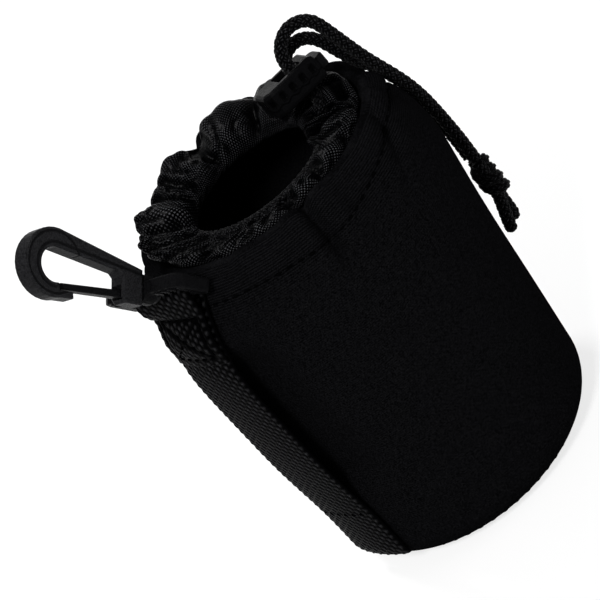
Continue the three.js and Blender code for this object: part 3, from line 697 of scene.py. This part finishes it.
dome = np.sin(np.pi * (number - np.floor(number + 1e-9)).clip(0, 1))[:, None] ** 0.5
valley = np.interp(number, fold_number, fold_ends[:, 2])[:, None]
above = smoothstep(np.sin(2 * np.pi * (share - 0.02)), -0.2, 0.5)[None]
lift = above * (folds[lobe, 3][:, None] * dome - valley * (1 - dome))
lift = lift + 0.15 * above * ripple(angle, share[None] * 20, 23, 10, 40)
radius = casing_line[None, :, 0] + lift * casing_out[None, :, 0]
height = casing_line[None, :, 1] + lift * casing_out[None, :, 1]
drawn = smoothstep(31.0 - casing_line[:, 0], 0.0, 9.0)[None]
outer_top = smoothstep(share, 0.04, 0.12) - smoothstep(share, 0.2, 0.42)
overhang = bell(np.degrees(angle), 146, 40) * outer_top
radius = radius + 3.2 * overhang - 3.5 * drawn * bell(np.degrees(angle), 320, 26)
points = np.stack([
    radius * np.cos(angle) + casing_middle - mouth_shift * drawn,
    radius * np.sin(angle) - mouth_shift * drawn,
    height + above * 0.9 * np.sin(angle - np.radians(-20.0)),
], -1)
chart = np.stack(np.broadcast_arrays(
    np.radians(np.append(even, even[0] + 360))[:, None] * 36.0,
    (np.append(share, 1.0) * casing_width)[None],
), -1)
casing = lay_surface("casing", points * 0.001, chart, smoothstep(lift, -1.6, 1.2), ring=True)


def puff_up(piece, scale, gathered, frames, pinned, middle, most_move):
    """The piece's points after a cloth cut longer round the middle by a share has been pushed together and
    blown up a little, its pinned points held and no point moved further than the most."""
    swell = bpy.data.objects.new("swell", piece.data.copy())
    scene.collection.objects.link(swell)
    start = np.empty(len(swell.data.vertices) * 3)
    swell.data.vertices.foreach_get("co", start)
    start *= scale
    swell.data.vertices.foreach_set("co", start)
    swell.shape_key_add(name="gathered")
    cut = swell.shape_key_add(name="cut")
    wide = start.reshape(-1, 3).copy()
    wide[:, :2] = (wide[:, :2] - np.array(middle) * scale) * gathered
    cut.data.foreach_set("co", wide.ravel())
    cut.value = 0.0
    group = swell.vertex_groups.new(name="sewn")
    for weight in np.unique(pinned[pinned > 0]):
        group.add(np.flatnonzero(pinned == weight).tolist(), float(weight), "REPLACE")
    cloth = swell.modifiers.new("cloth", "CLOTH")
    cloth.settings.vertex_group_mass = "sewn"
    cloth.settings.rest_shape_key = cut
    cloth.settings.quality = 6
    cloth.settings.mass = 0.2
    cloth.settings.tension_stiffness = 30
    cloth.settings.compression_stiffness = 30
    cloth.settings.shear_stiffness = 10
    cloth.settings.bending_stiffness = 0.6
    cloth.settings.use_pressure = True
    cloth.settings.uniform_pressure_force = 4.0
    cloth.settings.effector_weights.gravity = 0.0
    cloth.collision_settings.use_collision = False
    cloth.collision_settings.use_self_collision = True
    cloth.collision_settings.self_distance_min = 0.008
    for moment in range(1, frames + 1):
        scene.frame_set(moment)
    shape = swell.evaluated_get(bpy.context.evaluated_depsgraph_get()).to_mesh()
    end = np.empty_like(start)
    shape.vertices.foreach_get("co", end)
    scene.frame_set(1)
    bpy.data.objects.remove(swell)
    move = (end - start).reshape(-1, 3) / scale
    reach = np.linalg.norm(move, axis=1, keepdims=True)
    return start.reshape(-1, 3) / scale + move * np.minimum(1, most_move / np.maximum(reach, 1e-9))


held = np.clip(1 - smoothstep(share, 0.0, 0.05) + smoothstep(share, 0.60, 0.66), 0, 1)
held = np.tile(np.round(held, 1), (len(number), 1))
held[nearest[folds[:, 2] > 0.5], 3:27:2] = 1.0
puffed = puff_up(
    casing,
    scale=20.0,
    gathered=1.35,
    frames=20,
    pinned=held.ravel(),
    middle=(0.0056, 0.0),
    most_move=0.0045,
)
casing.data.vertices.foreach_set("co", puffed.ravel())
casing.data.update()

crease_count = 3
crease_deep = 0.0009
blur_passes = 10


def crease(number, share):
    """Height of the narrow folds between the main ones: three rounded ridges to a puff with sharp valleys
    between, the sine to the power 0.7, drifting sideways on their way to the mouth, each of its own
    height."""
    order = crease_count * number[:, None] + 0.3 * np.sin(7 * share + 2.1 * number[:, None])
    tall = np.random.default_rng(8).uniform(0.2, 1.0, crease_count * fold_count)
    return tall[np.floor(order).astype(int) % len(tall)] * np.abs(np.sin(np.pi * order)) ** 0.7


shape = np.empty((len(number), len(share), 3))
casing.data.vertices.foreach_get("co", shape.reshape(-1))
way_out = np.empty_like(shape)
casing.data.vertex_normals.foreach_get("vector", way_out.reshape(-1))
shape = shape + way_out * (crease_deep * above * (crease(number, share[None]) - 0.35))[..., None]
casing.data.vertices.foreach_set("co", shape.ravel())
casing.data.update()
blurred = shape
for step in range(blur_passes):
    beside = np.roll(blurred, 1, 0) + np.roll(blurred, -1, 0)
    beside = beside + np.roll(blurred, 1, 1) + np.roll(blurred, -1, 1)
    blurred = (blurred + beside) / 5
# crest: how far each point stands out from a blurred copy of the casing, 0 in the creases and 1 on the
# crests. It replaces the relief set from the lift, and the nylon paints it into its base colour: painted
# highlight on the crests, painted shade in the creases.
crest = smoothstep(np.sum((shape - blurred) * way_out, axis=-1), -0.0004, 0.0007)
casing.data.attributes["relief"].data.foreach_set("value", crest.ravel())
casing_smooth = casing.modifiers.new("smooth", "SUBSURF")
casing_smooth.levels = casing_smooth.render_levels = 1

nylon_pitch = 1.15
nylon, tree, shader = new_finish("shiny_nylon", roughness=0.25, specular=0.008)
weave = calc(tree, "MULTIPLY", *chart_waves(tree, 2 * np.pi / nylon_pitch))
weave = remap(tree, weave, 0.2, 1.0)
# The base colour is light only where the crest mask and the weave's dots meet: a painted highlight on the
# crests of the puffs, with painted shade in the creases between them.
lit = calc(tree, "POWER", relief_of(tree), 2.0)
lit = calc(tree, "MULTIPLY", weave, lit)
two_tone(tree, shader, lit, (0.0001, 0.0001, 0.0002), (0.05, 0.05, 0.054))
emboss(tree, shader, weave, 0.0001)
casing.data.materials.append(nylon)
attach(casing, "pouch")
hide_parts("collar_casing")

# Strap: 20 mm coarse black webbing up the back, sewn on low down and below the rim, free between for a
# belt. Its top is folded round the bar of the swivel base and sewn down on itself.
strap_half_wide = 10
strap_half_thick = 0.7
strap_off, strap_bow = 0.48, 1.1
strap_columns = 81
hug_radius = 41
fold_radius = 2.75
fold_height = 100.0
flap_long = 19
ends_wide = 20 / 14
pick_long = 2.2


def wall_radius(height):
    """Outer radius of the tube at a height."""
    low = flat_radius + np.sqrt(np.clip(edge_radius**2 - (edge_radius - height) ** 2, 0, None))
    rise = np.clip(1 - ((height - wide_height) / shoulder_tall) ** 2, 0, None)
    high = wide_radius - shoulder_wide * (1 - np.sqrt(rise))
    part = (height - edge_radius) / (wide_height - edge_radius)
    middle = low_radius + (wide_radius - low_radius) * part
    return np.where(height < edge_radius, low, np.where(height < wide_height, middle, high))


def strap_line(height):
    """Place of the strap's middle: on the tube's line, bowed out a little where the wall behind is drawn
    in."""
    bow = smoothstep(height, 15.0, 50.0) * smoothstep(-height, -97.0, -66.0)
    proud = strap_off + strap_bow * bow
    return lean_forward * height / rim_height - wall_radius(height) - proud - strap_half_thick


fold_slope = strap_line(fold_height + 0.5) - strap_line(fold_height - 0.5)
fold_along = np.array([fold_slope, 1.0]) / np.hypot(fold_slope, 1.0)
bar = np.array([
    strap_line(fold_height) - fold_along[1] * fold_radius,
    fold_height + fold_along[0] * fold_radius,
])
rising = np.linspace(7.0, fold_height, 300)
turn = np.linspace(-np.arcsin(fold_along[0]), np.pi, 40)[1:]
falling = np.linspace(bar[1], bar[1] - flap_long, 70)[1:]
layer = 1.7 - 0.9 * smoothstep(-falling, -90.0, -83.0)
layer = layer * np.hypot(1, strap_line(falling + 0.5) - strap_line(falling - 0.5))
strap_run = np.concatenate([
    np.stack([strap_line(rising), rising], -1),
    np.stack([bar[0] + fold_radius * np.cos(turn), bar[1] + fold_radius * np.sin(turn)], -1),
    np.stack([np.minimum(strap_line(falling) - layer, bar[0] - fold_radius), falling], -1),
])
strap_run = smooth_line(np.column_stack([strap_run, np.zeros(len(strap_run))]), 0.33)[:, :2]
strap_along = unit(np.gradient(strap_run, axis=0))
strap_out = np.stack([-strap_along[:, 1], strap_along[:, 0]], -1)
strap_s = run_along(strap_run)
# the sewn box by length from the flap's end and place across: its four sides and two diagonals
box = [(2.0, -7.6), (2.0, 7.6), (13.5, 7.6), (13.5, -7.6)]
strap_stitches = [*zip(box, box[1:] + box[:1]), (box[0], box[2]), (box[1], box[3])]
across = np.linspace(-strap_half_wide, strap_half_wide, strap_columns)
across = np.concatenate([across, across[::-1]])
side = np.concatenate([np.ones(strap_columns), -np.ones(strap_columns)])
edge = np.clip((strap_half_wide - np.abs(across)) / 0.9, 0.02, 1) ** 0.5
ends_across = across / ends_wide
pick = strap_s[:, None] / pick_long + 0.5 * np.floor(ends_across)[None] + 0.12 * side
pip = np.abs(np.sin(np.pi * ends_across))[None] * (0.5 + 0.5 * np.cos(2 * np.pi * pick))
thin = 1 - 0.65 * smoothstep(strap_s, strap_s[-1] - 7, strap_s[-1])[:, None]
from_end = strap_s[-1] - strap_s[:, None]
groove = 0.0
for (a, b), (c, d) in strap_stitches:
    t = ((from_end - a) * (c - a) + (across - b) * (d - b)) / ((c - a) ** 2 + (d - b) ** 2)
    t = np.clip(t, 0, 1)
    away = np.hypot(from_end - a - t * (c - a), across - b - t * (d - b))
    groove = np.maximum(groove, bell(away, 0, 0.55) * (side < 0))
pip = pip * (1 - 0.9 * groove)
thick = (0.5 + 0.22 * pip - 0.25 * groove) * edge * thin
spot = strap_run[:, None] + strap_out[:, None] * (side * thick)[..., None]
sewn = 1 - 0.4 * smoothstep(strap_run[:, 1], 20.0, 42.0) * smoothstep(-strap_run[:, 1], -84.0, -74.0)
sewn = sewn * (1 - smoothstep(strap_run[:, 1], bar[1] - 9, bar[1] - 2))
hug = sewn[:, None] * (hug_radius - np.sqrt(hug_radius**2 - across**2))[None]
points = np.stack(np.broadcast_arrays(spot[..., 0] + hug, across[None], spot[..., 1]), -1)

# the top is turned into line with the bar, about the bar's middle
bar_middle = np.array([bar[0], 0.0, bar[1]])
bar_along = np.array([-0.156143, 0.985846, -0.061049])
axis = np.cross([0.0, 1.0, 0.0], bar_along)
sine = np.linalg.norm(axis)
axis /= sine
twist = np.arcsin(sine) * smoothstep(points[..., 2], bar[1] - 8.25, bar[1] - 1.1)[..., None]
arm = points - bar_middle
along_axis = axis * (arm @ axis)[..., None]
arm = arm * np.cos(twist) + np.cross(axis, arm) * np.sin(twist) + along_axis * (1 - np.cos(twist))
strap_points = (arm + bar_middle) * 0.001
chart = np.stack(np.broadcast_arrays(np.append(across, across[0])[None], strap_s[:, None]), -1)
# The weave's crests, pip times edge, are kept as relief; the webbing paints them as highlights in its base
# colour, darker at the edges and in the stitch grooves.
strap = lay_surface("strap", strap_points, chart, pip * edge)

webbing, tree, shader = new_finish("coarse_webbing", roughness=0.3, specular=0.006)
relief = relief_of(tree)
fuzz = speckle(tree, 1100.0, 3.0, 0.6)
# The base colour is lighter on the crest of each pick, fading at the strap's edges and in the stitch
# grooves: a painted highlight, broken up by noise.
lit = calc(tree, "POWER", relief, 2.4)
lit = calc(tree, "MULTIPLY", lit, fuzz)
two_tone(tree, shader, lit, (0.0002, 0.0002, 0.0003), (0.034, 0.034, 0.0367))
emboss(tree, shader, calc(tree, "ADD", relief, fuzz), 0.0001)
strap.data.materials.append(webbing)
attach(strap, "pouch")
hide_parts("back_strap")

# Thread: black polyester, lockstitched: one row round the hem, a box with a cross on the strap's fold, a
# row across its foot and the seam of the base. A stitch has a length, a gap before the next and a radius.
hem_stitch = (0.0021, 0.0011, 0.00032)
seam_stitch = (0.0026, 0.0012, 0.0002)
strap_stitch = (0.002, 0.0009, 0.00026)


def stitch_row(places, outs, length, gap, thick):
    """Short arched beads along a line of points, each a stitch of a length after a gap. A bead runs from
    one end to the other, rises from the cloth by a half sine and thins at both ends."""
    run = run_along(places)
    count = int(run[-1] / (length + gap))
    begin = (np.arange(count) + 0.5) * run[-1] / count - length / 2
    t = np.linspace(0.0, 1.0, 6)
    at = begin[:, None] + t * length
    lift = unit(at_runs(at, run, outs))
    line = at_runs(at, run, places) + lift * (thick * (1.3 * np.sin(np.pi * t) - 0.6))[:, None]
    along = unit(line[:, -1:] - line[:, :1])
    beside = np.cross(along, lift)
    turn = np.linspace(0, 2 * np.pi, 7)[:-1]
    width = thick * (0.55 + 0.45 * np.sin(np.pi * t))
    ring = np.cos(turn)[:, None] * lift[:, :, None] + np.sin(turn)[:, None] * beside[:, :, None]
    return line[:, :, None] + width[None, :, None, None] * ring


def on_wall(turn, run, proud):
    """Points on the wall's outer face at angles and runs below the rim, and the way out of it."""
    out = at_runs(run, down, outward)
    spot = at_runs(run, down, face) + (wall_lift(turn, run) + proud)[:, None] * out
    place = stand_up(turn, spot[:, 0], spot[:, 1])
    return place, np.stack([out[:, 0] * np.cos(turn), out[:, 0] * np.sin(turn), out[:, 1]], -1)


def on_strap(length, place, side):
    """Points on the strap at lengths along it and places across it, on its one face or the other, with
    the way out, which is the way from the same place on the other face."""
    row = np.clip(np.searchsorted(strap_s, length), 0, len(strap_s) - 1)
    column = np.round((place + strap_half_wide) * (strap_columns - 1) / (2 * strap_half_wide)).astype(int)
    opposite = 2 * strap_columns - 1 - column
    if side < 0:
        column, opposite = opposite, column
    return strap_points[row, column], strap_points[row, column] - strap_points[row, opposite]


turn = np.radians(np.linspace(-180, 180, 900))
rows = [stitch_row(*on_wall(turn, hem_width(turn), 0.12), *hem_stitch)]
seam_points, seam_radius, seam_height = 500, 34.1, 1.9
turn = np.radians(np.linspace(-180, 180, seam_points))
seam_out = np.stack([0.545 * np.cos(turn), 0.545 * np.sin(turn), np.full(seam_points, -0.839)], -1)
seam_line = stand_up(turn, np.full(seam_points, seam_radius), np.full(seam_points, seam_height))
rows.append(stitch_row(seam_line, seam_out, *seam_stitch))
t = np.linspace(0, 1, 60)
for (from_run, from_across), (to_run, to_across) in strap_stitches:
    box_run = strap_s[-1] - from_run + (from_run - to_run) * t
    box_across = from_across + (to_across - from_across) * t
    rows.append(stitch_row(*on_strap(box_run, box_across, -1), *strap_stitch))
foot = np.interp(24.0, strap_run[:100, 1], strap_s[:100])
rows.append(stitch_row(*on_strap(np.full(60, foot), np.linspace(-8.6, 8.6, 60), 1), *strap_stitch))
thread = lay_surface("thread", np.concatenate(rows))
spun, tree, shader = new_finish("spun_thread", roughness=0.5, specular=0.0)
ply = speckle(tree, 2600.0, 2.0, 0.5)
two_tone(tree, shader, ply, (0.0001, 0.0001, 0.0001), (0.0016, 0.0016, 0.0018))
thread.data.materials.append(spun)
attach(thread, "pouch")


# Clip and cord lock: injection-moulded black nylon with a fine eroded skin, glossier where it is handled.
# The hook has a rim along its edges, the lock a row of grips. The lock's spring is drawn steel wire.
def moulded_black(name):
    """Moulded nylon with a smeared gloss. Gives the material, its tree, its shader and its skin's height."""
    finish, tree, shader = new_finish(name, roughness=0.3, specular=0.01)
    skin = speckle(tree, 2800.0, 2.0, 0.6)
    smear = speckle(tree, 120.0, 3.0, 0.6)
    tree.links.new(remap(tree, smear, 0.3, 0.7, 0.2, 0.34), shader.inputs["Roughness"])
    return finish, tree, shader, skin


def turned(tree, middle, ways):
    """Three numbers: a place in millimetres along three ways from a middle."""
    frame_turn = Matrix([way.tolist() for way in ways])
    shift = frame_turn @ Vector(middle) * -1000
    place = tree.nodes.new("ShaderNodeTexCoord").outputs["Object"]
    local = add_node(tree, "Mapping", place, tuple(shift), tuple(frame_turn.to_euler()), (1000.0,) * 3)
    return parts_of(tree, local)


def ridge(tree, value, centre, width):
    """1 where a number is at a centre, 0 a width away from it."""
    away = calc(tree, "ABSOLUTE", calc(tree, "SUBTRACT", value, centre))
    return remap(tree, away, width * 0.4, width, 1.0, 0.0)


def far_from(tree, x, y):
    """Distance from a middle, the root of x squared plus y squared."""
    squares = calc(tree, "ADD", calc(tree, "POWER", x, 2.0), calc(tree, "POWER", y, 2.0))
    return calc(tree, "SQRT", squares)


moulded, tree, shader, skin = moulded_black("moulded_black")
tone = remap(tree, skin, 0.3, 0.7)
two_tone(tree, shader, tone, (0.001, 0.001, 0.0012), (0.0055, 0.0055, 0.006))
emboss(tree, shader, skin, 0.00005)

# the hook's rims: one round the eye and along the spine, one along the outer edge, in its own plane
hook_finish, tree, shader, skin = moulded_black("moulded_hook")
hook_middle = (-0.052547, -0.000895, 0.132441)
gate_way = np.array([-0.823144, -0.164037, -0.543623])
hook_up = np.array([-0.545943, -0.034631, 0.837106])
eye_radius = 4.2
x, y = turned(tree, hook_middle, (gate_way, hook_up, np.cross(gate_way, hook_up)))[:2]
beside = calc(tree, "SUBTRACT", x, 0.504)
upper = calc(tree, "ADD", y, 0.42)
eye_rim = calc(tree, "SUBTRACT", far_from(tree, beside, upper), eye_radius)
spine = calc(tree, "MULTIPLY", calc(tree, "ADD", x, 3.696), -0.9877)
spine = calc(tree, "ADD", spine, calc(tree, "MULTIPLY", upper, -0.156))
is_crown = calc(tree, "GREATER_THAN", upper, 0.0)
eye_part = calc(tree, "MULTIPLY", eye_rim, is_crown)
spine_part = calc(tree, "MULTIPLY", spine, calc(tree, "SUBTRACT", 1.0, is_crown))
inner = ridge(tree, calc(tree, "ADD", eye_part, spine_part), 1.15, 0.45)
outer = ridge(tree, far_from(tree, x, y), 7.4, 0.35)
rim = calc(tree, "MAXIMUM", inner, outer)
tone = remap(tree, skin, 0.3, 0.7)
# Along both rim lines the bump sinks the surface and the base colour is darkened by up to 0.8: painted shade
# in those grooves.
tone = calc(tree, "MULTIPLY", tone, calc(tree, "SUBTRACT", 1.0, calc(tree, "MULTIPLY", rim, 0.8)))
two_tone(tree, shader, tone, (0.0022, 0.0022, 0.0024), (0.017, 0.017, 0.0184))
emboss(tree, shader, calc(tree, "SUBTRACT", calc(tree, "MULTIPLY", skin, 0.25), rim), 0.00025)

# the lock's grips: a row of grooves along both flanks above a scalloped step
lock_finish, tree, shader, skin = moulded_black("moulded_lock")
lock_middle = front_place(lock_radius, 0.0, lock_height)
lock_up = np.array([0.077886, 0.192773, 0.978148])
lock_across = np.cross(lock_up, cord_outward)
grip_half_pitch = 1.63
x, y, z = turned(tree, lock_middle.tolist(), (cord_outward, lock_across, lock_up))
pitch = calc(tree, "WRAP", calc(tree, "ADD", x, 6.88), grip_half_pitch, -grip_half_pitch)
grip = calc(tree, "MULTIPLY", ridge(tree, pitch, 0.0, 0.95), ridge(tree, z, 0.75, 1.5))
grip = calc(tree, "MULTIPLY", grip, calc(tree, "GREATER_THAN", calc(tree, "ABSOLUTE", y), 3.0))
scallop = calc(tree, "COSINE", calc(tree, "MULTIPLY", pitch, 1.93))
scallop = calc(tree, "MULTIPLY_ADD", scallop, 0.3, z)
ledge = remap(tree, scallop, -1.25, -0.85)
# In the grip grooves the base colour goes to the dark tone: painted shade in the recesses, which the bump
# also sinks.
tone = calc(tree, "MULTIPLY", skin, calc(tree, "SUBTRACT", 1.0, grip))
two_tone(tree, shader, tone, (0.0004, 0.0004, 0.0005), (0.0036, 0.0036, 0.004))
emboss(tree, shader, calc(tree, "SUBTRACT", calc(tree, "MULTIPLY_ADD", skin, 0.15, ledge), grip), 0.0003)

for name, finish in (
    ("lock_body", lock_finish),
    ("lock_plunger", moulded),
    ("swivel_base", moulded),
    ("hook_body", hook_finish),
    ("hook_gate", moulded),
):
    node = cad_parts[name]
    node.data.materials.clear()
    node.data.materials.append(finish)
    joined = node.modifiers.new("joined", "WELD")
    joined.merge_threshold = 0.00001
    rounded = node.modifiers.new("rounded", "BEVEL")
    rounded.width = 0.0003
    rounded.segments = 2
    rounded.limit_method = "ANGLE"
    rounded.angle_limit = np.radians(32)

# the spring: four turns of 0.4 mm wire behind the plunger
coil_points, coil_radius, wire_radius = 161, 0.0015, 0.0002
coil_turn = np.linspace(0.0, 8 * np.pi, coil_points)[:, None]
coil_along = np.linspace(-0.0092, -0.00455, coil_points)[:, None]
coil_out = np.cos(coil_turn) * lock_across + np.sin(coil_turn) * lock_up
coil_line = lock_middle + coil_along * cord_outward + coil_radius * coil_out
ring = np.linspace(0, 2 * np.pi, 11)[:-1, None]
points = coil_line[:, None] + wire_radius * (np.cos(ring) * coil_out[:, None] + np.sin(ring) * cord_outward)
spring = lay_surface("spring", points)
wire, tree, shader = new_finish("drawn_wire", roughness=0.3, specular=0.5)
shader.inputs["Metallic"].default_value = 1.0
scratch = speckle(tree, 2500.0, 2.0, 0.5)
two_tone(tree, shader, scratch, (0.42, 0.42, 0.43), (0.62, 0.62, 0.63))
spring.data.materials.append(wire)
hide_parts("lock_spring")
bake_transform(spring)
